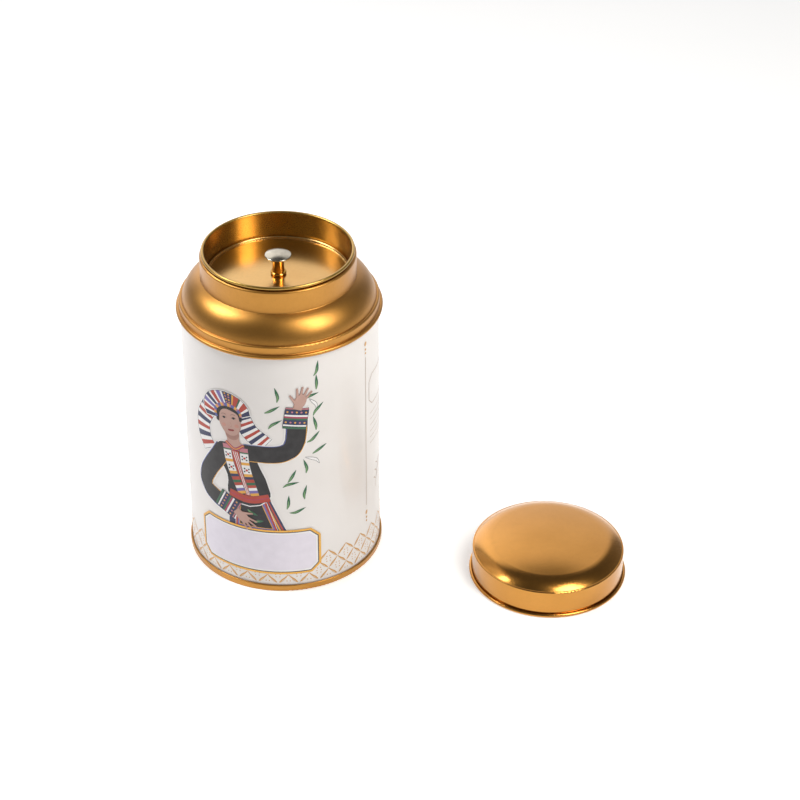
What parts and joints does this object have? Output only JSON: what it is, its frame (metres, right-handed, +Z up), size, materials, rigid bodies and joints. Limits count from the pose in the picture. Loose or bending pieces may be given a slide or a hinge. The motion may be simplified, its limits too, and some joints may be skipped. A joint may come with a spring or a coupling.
{
  "type": "round double-lid tin",
  "caption": "Tall round tinplate canister with a domed shoulder, a narrow neck, a flat inner lid with a mushroom knob, and a loose domed outer cap lying beside it.",
  "frame": {"origin": "on the tin's own axis, in the plane of its foot", "axes": "+Z up the tin's axis; -Y is the side seen most from the front; +X towards the side where the loose cap lies"},
  "size_m": [0.1879, 0.1089, 0.1443],
  "materials": {
    "printed_enamel": "satin cream enamel on tinplate, printed",
    "gold_lacquer": "satin gold lacquer on tinplate",
    "bright_gold": "polished gold plate on a turned stem",
    "pale_nickel": "polished pale nickel plate"
  },
  "bodies": {
    "tin": {"body_shell": "printed_enamel", "bottom_end": "gold_lacquer", "shoulder_dome": "gold_lacquer", "neck_collar": "gold_lacquer"},
    "inner_lid": {"inner_lid_pan": "gold_lacquer", "knob_stem": "bright_gold", "knob_head": "pale_nickel"},
    "loose_cap": {"outer_cap": "gold_lacquer"}
  },
  "joints": [
    {"name": "inner_lid_lift", "type": "slide", "parent": "tin", "child": "inner_lid", "axis": [0, 0, 1], "range_m": [0, 0.03]},
    {"name": "loose_cap_lift", "type": "slide", "parent": "tin", "child": "loose_cap", "axis": [0, 0, 1], "range_m": [0, 0.15]}
  ]
}
